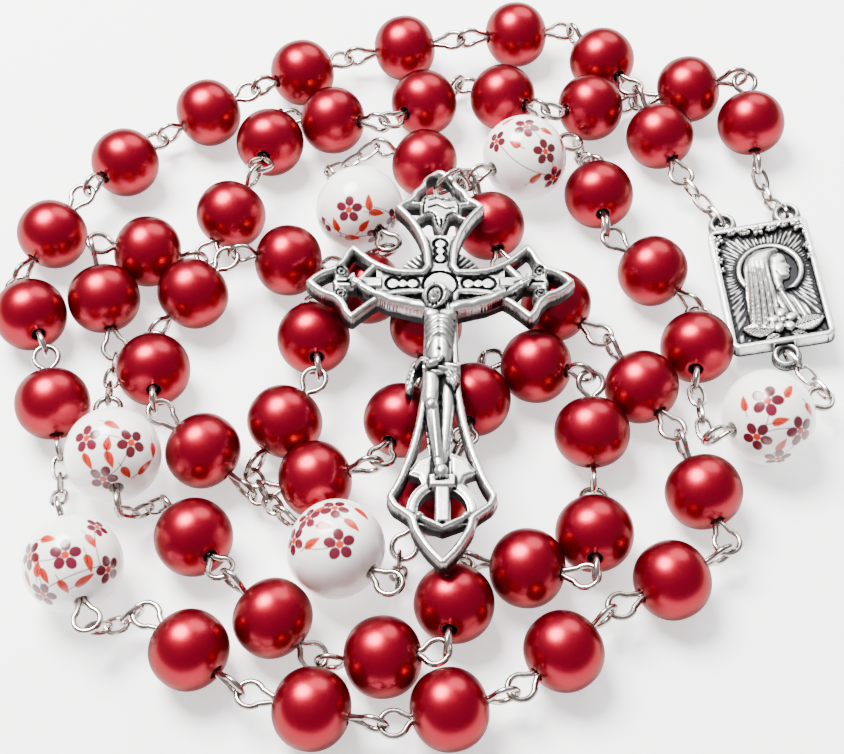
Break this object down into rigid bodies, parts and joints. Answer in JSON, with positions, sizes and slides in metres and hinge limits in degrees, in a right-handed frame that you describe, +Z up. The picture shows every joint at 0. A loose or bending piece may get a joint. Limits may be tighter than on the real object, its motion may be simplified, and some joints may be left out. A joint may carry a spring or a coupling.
{
  "type": "rosary",
  "caption": "Rosary laid in a loose heap: round pearl beads and larger flower-painted beads on linked wire eye pins, a medal centrepiece and a cast crucifix.",
  "frame": {"origin": "on the surface that the rosary lies on, under the middle of its footprint", "axes": "+Z up, +Y towards the head of the crucifix, +X towards the medal"},
  "size_m": [0.0922, 0.0984, 0.0123],
  "materials": {
    "pearl_red": "pearl lustre coating on glass, glossy",
    "floral_glaze": "white glaze with small red and orange flowers, glossy",
    "steel_wire": "bright nickel-plated wire",
    "antique_silver": "antique silver plating, dark in the recesses, polished on the raised work"
  },
  "bodies": {
    "strung_wire": {"decade_1_wire": "steel_wire", "decade_2_wire": "steel_wire", "decade_3_wire": "steel_wire", "decade_4_wire": "steel_wire", "decade_5_wire": "steel_wire", "pendant_wire": "steel_wire"},
    "centrepiece": {"centrepiece_medal": "antique_silver"},
    "jump_ring": {"crucifix_jump_ring": "steel_wire"},
    "crucifix": {"crucifix": "antique_silver"},
    "hail_mary_bead_01": {"hail_mary_bead_01": "pearl_red"},
    "hail_mary_bead_02": {"hail_mary_bead_02": "pearl_red"},
    "hail_mary_bead_03": {"hail_mary_bead_03": "pearl_red"},
    "hail_mary_bead_04": {"hail_mary_bead_04": "pearl_red"},
    "hail_mary_bead_05": {"hail_mary_bead_05": "pearl_red"},
    "hail_mary_bead_06": {"hail_mary_bead_06": "pearl_red"},
    "hail_mary_bead_07": {"hail_mary_bead_07": "pearl_red"},
    "hail_mary_bead_08": {"hail_mary_bead_08": "pearl_red"},
    "hail_mary_bead_09": {"hail_mary_bead_09": "pearl_red"},
    "hail_mary_bead_10": {"hail_mary_bead_10": "pearl_red"},
    "our_father_bead_1": {"our_father_bead_1": "floral_glaze"},
    "hail_mary_bead_11": {"hail_mary_bead_11": "pearl_red"},
    "hail_mary_bead_12": {"hail_mary_bead_12": "pearl_red"},
    "hail_mary_bead_13": {"hail_mary_bead_13": "pearl_red"},
    "hail_mary_bead_14": {"hail_mary_bead_14": "pearl_red"},
    "hail_mary_bead_15": {"hail_mary_bead_15": "pearl_red"},
    "hail_mary_bead_16": {"hail_mary_bead_16": "pearl_red"},
    "hail_mary_bead_17": {"hail_mary_bead_17": "pearl_red"},
    "our_father_bead_2": {"our_father_bead_2": "floral_glaze"},
    "hail_mary_bead_18": {"hail_mary_bead_18": "pearl_red"},
    "hail_mary_bead_19": {"hail_mary_bead_19": "pearl_red"},
    "hail_mary_bead_20": {"hail_mary_bead_20": "pearl_red"},
    "hail_mary_bead_21": {"hail_mary_bead_21": "pearl_red"},
    "hail_mary_bead_22": {"hail_mary_bead_22": "pearl_red"},
    "hail_mary_bead_23": {"hail_mary_bead_23": "pearl_red"},
    "hail_mary_bead_24": {"hail_mary_bead_24": "pearl_red"},
    "our_father_bead_3": {"our_father_bead_3": "floral_glaze"},
    "hail_mary_bead_25": {"hail_mary_bead_25": "pearl_red"},
    "hail_mary_bead_26": {"hail_mary_bead_26": "pearl_red"},
    "hail_mary_bead_27": {"hail_mary_bead_27": "pearl_red"},
    "hail_mary_bead_28": {"hail_mary_bead_28": "pearl_red"},
    "hail_mary_bead_29": {"hail_mary_bead_29": "pearl_red"},
    "hail_mary_bead_30": {"hail_mary_bead_30": "pearl_red"},
    "hail_mary_bead_31": {"hail_mary_bead_31": "pearl_red"},
    "hail_mary_bead_32": {"hail_mary_bead_32": "pearl_red"},
    "our_father_bead_4": {"our_father_bead_4": "floral_glaze"},
    "hail_mary_bead_33": {"hail_mary_bead_33": "pearl_red"},
    "hail_mary_bead_34": {"hail_mary_bead_34": "pearl_red"},
    "hail_mary_bead_35": {"hail_mary_bead_35": "pearl_red"},
    "hail_mary_bead_36": {"hail_mary_bead_36": "pearl_red"},
    "hail_mary_bead_37": {"hail_mary_bead_37": "pearl_red"},
    "hail_mary_bead_38": {"hail_mary_bead_38": "pearl_red"},
    "hail_mary_bead_39": {"hail_mary_bead_39": "pearl_red"},
    "hail_mary_bead_40": {"hail_mary_bead_40": "pearl_red"},
    "hail_mary_bead_41": {"hail_mary_bead_41": "pearl_red"},
    "hail_mary_bead_42": {"hail_mary_bead_42": "pearl_red"},
    "our_father_bead_5": {"our_father_bead_5": "floral_glaze"},
    "hail_mary_bead_43": {"hail_mary_bead_43": "pearl_red"},
    "hail_mary_bead_44": {"hail_mary_bead_44": "pearl_red"},
    "hail_mary_bead_45": {"hail_mary_bead_45": "pearl_red"},
    "our_father_bead_6": {"our_father_bead_6": "floral_glaze"}
  },
  "joints": [
    {"name": "crucifix_swing", "type": "hinge", "parent": "jump_ring", "child": "crucifix", "pos_m": [0.00381, 0.01609, 0.00941], "axis": [-1, 0, 0], "range_deg": [0, 35]},
    {"name": "jump_ring_swing", "type": "hinge", "parent": "strung_wire", "child": "jump_ring", "pos_m": [0.00481, 0.01684, 0.00941], "axis": [-1, 0, 0], "range_deg": [0, 8]},
    {"name": "centrepiece_swing", "type": "hinge", "parent": "strung_wire", "child": "centrepiece", "pos_m": [0.03918, 0.01587, 0.00321], "axis": [-0.9824, -0.0687, -0.1736], "range_deg": [0, 2]},
    {"name": "our_father_bead_1_spin", "type": "hinge", "parent": "strung_wire", "child": "our_father_bead_1", "pos_m": [-0.03383, -0.03031, 0.00501], "axis": [0.3215, -0.9417, 0.0992], "continuous": true},
    {"name": "our_father_bead_2_spin", "type": "hinge", "parent": "strung_wire", "child": "our_father_bead_2", "pos_m": [-0.00638, 0.01577, 0.005], "axis": [0.4919, -0.8541, 0.1688], "continuous": true},
    {"name": "our_father_bead_3_spin", "type": "hinge", "parent": "strung_wire", "child": "our_father_bead_3", "pos_m": [-0.00781, -0.02863, 0.00498], "axis": [0.7822, -0.6128, 0.1124], "continuous": true},
    {"name": "our_father_bead_4_spin", "type": "hinge", "parent": "strung_wire", "child": "our_father_bead_4", "pos_m": [-0.03121, -0.01752, 0.005], "axis": [-0.201, 0.9661, -0.162], "continuous": true},
    {"name": "our_father_bead_5_spin", "type": "hinge", "parent": "strung_wire", "child": "our_father_bead_5", "pos_m": [0.03714, -0.01283, 0.00501], "axis": [-0.8874, -0.4363, 0.1485], "continuous": true},
    {"name": "our_father_bead_6_spin", "type": "hinge", "parent": "strung_wire", "child": "our_father_bead_6", "pos_m": [0.01278, 0.02369, 0.005], "axis": [-0.8256, -0.5357, 0.1776], "continuous": true},
    {"name": "hail_mary_bead_01_spin", "type": "hinge", "parent": "strung_wire", "child": "hail_mary_bead_01", "pos_m": [0.02916, 0.02814, 0.004], "axis": [-0.3507, 0.9304, 0.107], "continuous": true},
    {"name": "hail_mary_bead_02_spin", "type": "hinge", "parent": "strung_wire", "child": "hail_mary_bead_02", "pos_m": [0.02302, 0.04085, 0.00398], "axis": [-0.5107, 0.8528, -0.1092], "continuous": true},
    {"name": "hail_mary_bead_03_spin", "type": "hinge", "parent": "strung_wire", "child": "hail_mary_bead_03", "pos_m": [0.01251, 0.04533, 0.00404], "axis": [-0.9673, -0.2252, 0.1168], "continuous": true},
    {"name": "hail_mary_bead_04_spin", "type": "hinge", "parent": "strung_wire", "child": "hail_mary_bead_04", "pos_m": [-0.00138, 0.04299, 0.00397], "axis": [-0.9865, -0.1033, -0.1267], "continuous": true},
    {"name": "hail_mary_bead_05_spin", "type": "hinge", "parent": "strung_wire", "child": "hail_mary_bead_05", "pos_m": [-0.01394, 0.03864, 0.00405], "axis": [-0.8286, -0.5402, 0.1469], "continuous": true},
    {"name": "hail_mary_bead_06_spin", "type": "hinge", "parent": "strung_wire", "child": "hail_mary_bead_06", "pos_m": [-0.02502, 0.03198, 0.00397], "axis": [-0.8639, -0.4751, -0.1671], "continuous": true},
    {"name": "hail_mary_bead_07_spin", "type": "hinge", "parent": "strung_wire", "child": "hail_mary_bead_07", "pos_m": [-0.03425, 0.02385, 0.00404], "axis": [-0.5793, -0.7951, 0.1795], "continuous": true},
    {"name": "hail_mary_bead_08_spin", "type": "hinge", "parent": "strung_wire", "child": "hail_mary_bead_08", "pos_m": [-0.04148, 0.01293, 0.00398], "axis": [-0.5089, -0.8426, -0.1761], "continuous": true},
    {"name": "hail_mary_bead_09_spin", "type": "hinge", "parent": "strung_wire", "child": "hail_mary_bead_09", "pos_m": [-0.04244, 0.00138, 0.00404], "axis": [0.4016, -0.8937, 0.2002], "continuous": true},
    {"name": "hail_mary_bead_10_spin", "type": "hinge", "parent": "strung_wire", "child": "hail_mary_bead_10", "pos_m": [-0.03852, -0.01045, 0.00399], "axis": [0.2109, -0.9553, -0.2071], "continuous": true},
    {"name": "hail_mary_bead_11_spin", "type": "hinge", "parent": "strung_wire", "child": "hail_mary_bead_11", "pos_m": [-0.02173, -0.03918, 0.00401], "axis": [0.7664, -0.6423, -0.0116], "continuous": true},
    {"name": "hail_mary_bead_12_spin", "type": "hinge", "parent": "strung_wire", "child": "hail_mary_bead_12", "pos_m": [-0.00968, -0.04529, 0.00401], "axis": [0.9683, -0.2494, 0.0119], "continuous": true},
    {"name": "hail_mary_bead_13_spin", "type": "hinge", "parent": "strung_wire", "child": "hail_mary_bead_13", "pos_m": [0.00336, -0.04535, 0.00401], "axis": [0.9637, 0.2666, -0.0142], "continuous": true},
    {"name": "hail_mary_bead_14_spin", "type": "hinge", "parent": "strung_wire", "child": "hail_mary_bead_14", "pos_m": [0.01445, -0.03932, 0.00402], "axis": [0.7512, 0.6599, 0.015], "continuous": true},
    {"name": "hail_mary_bead_15_spin", "type": "hinge", "parent": "strung_wire", "child": "hail_mary_bead_15", "pos_m": [0.02556, -0.03159, 0.00401], "axis": [0.876, 0.482, -0.0149], "continuous": true},
    {"name": "hail_mary_bead_16_spin", "type": "hinge", "parent": "strung_wire", "child": "hail_mary_bead_16", "pos_m": [0.02967, -0.02139, 0.00401], "axis": [-0.2945, 0.9555, 0.0155], "continuous": true},
    {"name": "hail_mary_bead_17_spin", "type": "hinge", "parent": "strung_wire", "child": "hail_mary_bead_17", "pos_m": [0.02427, -0.00831, 0.004], "axis": [-0.4648, 0.8852, -0.0166], "continuous": true},
    {"name": "hail_mary_bead_18_spin", "type": "hinge", "parent": "strung_wire", "child": "hail_mary_bead_18", "pos_m": [-0.01432, 0.00905, 0.00402], "axis": [-0.9532, -0.0612, 0.296], "continuous": true},
    {"name": "hail_mary_bead_19_spin", "type": "hinge", "parent": "strung_wire", "child": "hail_mary_bead_19", "pos_m": [-0.02474, 0.00434, 0.004], "axis": [-0.6752, -0.6744, -0.2988], "continuous": true},
    {"name": "hail_mary_bead_20_spin", "type": "hinge", "parent": "strung_wire", "child": "hail_mary_bead_20", "pos_m": [-0.02821, -0.00602, 0.00401], "axis": [0.1335, -0.9448, 0.2992], "continuous": true},
    {"name": "hail_mary_bead_21_spin", "type": "hinge", "parent": "strung_wire", "child": "hail_mary_bead_21", "pos_m": [-0.02207, -0.0164, 0.00402], "axis": [0.7449, -0.6111, -0.2678], "continuous": true},
    {"name": "hail_mary_bead_22_spin", "type": "hinge", "parent": "strung_wire", "child": "hail_mary_bead_22", "pos_m": [-0.01025, -0.01989, 0.00402], "axis": [0.9527, 0.124, 0.2775], "continuous": true},
    {"name": "hail_mary_bead_23_spin", "type": "hinge", "parent": "strung_wire", "child": "hail_mary_bead_23", "pos_m": [-0.01108, -0.00184, 0.00404], "axis": [0.1424, -0.9404, 0.3089], "continuous": true},
    {"name": "hail_mary_bead_24_spin", "type": "hinge", "parent": "strung_wire", "child": "hail_mary_bead_24", "pos_m": [-0.01371, -0.01282, 0.00409], "axis": [-0.5528, -0.7773, -0.3004], "continuous": true},
    {"name": "hail_mary_bead_25_spin", "type": "hinge", "parent": "strung_wire", "child": "hail_mary_bead_25", "pos_m": [0.01307, -0.00562, 0.00404], "axis": [0.8746, -0.3765, 0.3054], "continuous": true},
    {"name": "hail_mary_bead_26_spin", "type": "hinge", "parent": "strung_wire", "child": "hail_mary_bead_26", "pos_m": [0.01863, -0.01411, 0.00403], "axis": [-0.0064, -0.9514, -0.3078], "continuous": true},
    {"name": "hail_mary_bead_27_spin", "type": "hinge", "parent": "strung_wire", "child": "hail_mary_bead_27", "pos_m": [0.01817, -0.02627, 0.004], "axis": [-0.0644, -0.9508, 0.3031], "continuous": true},
    {"name": "hail_mary_bead_28_spin", "type": "hinge", "parent": "strung_wire", "child": "hail_mary_bead_28", "pos_m": [0.01125, -0.03025, 0.00402], "axis": [-0.9162, 0.2959, -0.2702], "continuous": true},
    {"name": "hail_mary_bead_29_spin", "type": "hinge", "parent": "strung_wire", "child": "hail_mary_bead_29", "pos_m": [0.00391, -0.03419, 0.00403], "axis": [-0.1304, -0.9443, 0.302], "continuous": true},
    {"name": "hail_mary_bead_30_spin", "type": "hinge", "parent": "strung_wire", "child": "hail_mary_bead_30", "pos_m": [-0.00301, -0.03993, 0.00402], "axis": [-0.9518, 0.0475, -0.303], "continuous": true},
    {"name": "hail_mary_bead_31_spin", "type": "hinge", "parent": "strung_wire", "child": "hail_mary_bead_31", "pos_m": [-0.01383, -0.03577, 0.00401], "axis": [-0.7393, 0.6026, 0.3005], "continuous": true},
    {"name": "hail_mary_bead_32_spin", "type": "hinge", "parent": "strung_wire", "child": "hail_mary_bead_32", "pos_m": [-0.02225, -0.02672, 0.00402], "axis": [-0.5547, 0.7808, -0.2874], "continuous": true},
    {"name": "hail_mary_bead_33_spin", "type": "hinge", "parent": "strung_wire", "child": "hail_mary_bead_33", "pos_m": [-0.03456, 0.0036, 0.00405], "axis": [-0.2621, 0.9272, 0.2677], "continuous": true},
    {"name": "hail_mary_bead_34_spin", "type": "hinge", "parent": "strung_wire", "child": "hail_mary_bead_34", "pos_m": [-0.03036, 0.01038, 0.00397], "axis": [0.9499, 0.0309, -0.3111], "continuous": true},
    {"name": "hail_mary_bead_35_spin", "type": "hinge", "parent": "strung_wire", "child": "hail_mary_bead_35", "pos_m": [-0.02124, 0.0158, 0.00405], "axis": [0.4772, 0.8165, 0.325], "continuous": true},
    {"name": "hail_mary_bead_36_spin", "type": "hinge", "parent": "strung_wire", "child": "hail_mary_bead_36", "pos_m": [-0.01731, 0.027, 0.0041], "axis": [0.1381, 0.9381, -0.3178], "continuous": true},
    {"name": "hail_mary_bead_37_spin", "type": "hinge", "parent": "strung_wire", "child": "hail_mary_bead_37", "pos_m": [-0.00997, 0.03072, 0.00399], "axis": [0.9082, -0.32, 0.2697], "continuous": true},
    {"name": "hail_mary_bead_38_spin", "type": "hinge", "parent": "strung_wire", "child": "hail_mary_bead_38", "pos_m": [0.00101, 0.03358, 0.00401], "axis": [0.6385, 0.722, -0.2665], "continuous": true},
    {"name": "hail_mary_bead_39_spin", "type": "hinge", "parent": "strung_wire", "child": "hail_mary_bead_39", "pos_m": [0.01056, 0.03448, 0.00402], "axis": [0.7343, -0.6189, 0.2787], "continuous": true},
    {"name": "hail_mary_bead_40_spin", "type": "hinge", "parent": "strung_wire", "child": "hail_mary_bead_40", "pos_m": [0.02113, 0.0328, 0.00401], "axis": [0.867, 0.3989, -0.2986], "continuous": true},
    {"name": "hail_mary_bead_41_spin", "type": "hinge", "parent": "strung_wire", "child": "hail_mary_bead_41", "pos_m": [0.03324, 0.03585, 0.00401], "axis": [0.9577, 0.0725, 0.2786], "continuous": true},
    {"name": "hail_mary_bead_42_spin", "type": "hinge", "parent": "strung_wire", "child": "hail_mary_bead_42", "pos_m": [0.04027, 0.03026, 0.00402], "axis": [0.0712, -0.9518, -0.2982], "continuous": true},
    {"name": "hail_mary_bead_43_spin", "type": "hinge", "parent": "strung_wire", "child": "hail_mary_bead_43", "pos_m": [0.03068, -0.00303, 0.00401], "axis": [0.151, 0.9649, -0.2148], "continuous": true},
    {"name": "hail_mary_bead_44_spin", "type": "hinge", "parent": "strung_wire", "child": "hail_mary_bead_44", "pos_m": [0.02669, 0.00754, 0.004], "axis": [-0.7329, 0.6497, 0.2021], "continuous": true},
    {"name": "hail_mary_bead_45_spin", "type": "hinge", "parent": "strung_wire", "child": "hail_mary_bead_45", "pos_m": [0.02131, 0.01889, 0.00401], "axis": [-0.0592, 0.9798, -0.1912], "continuous": true}
  ]
}
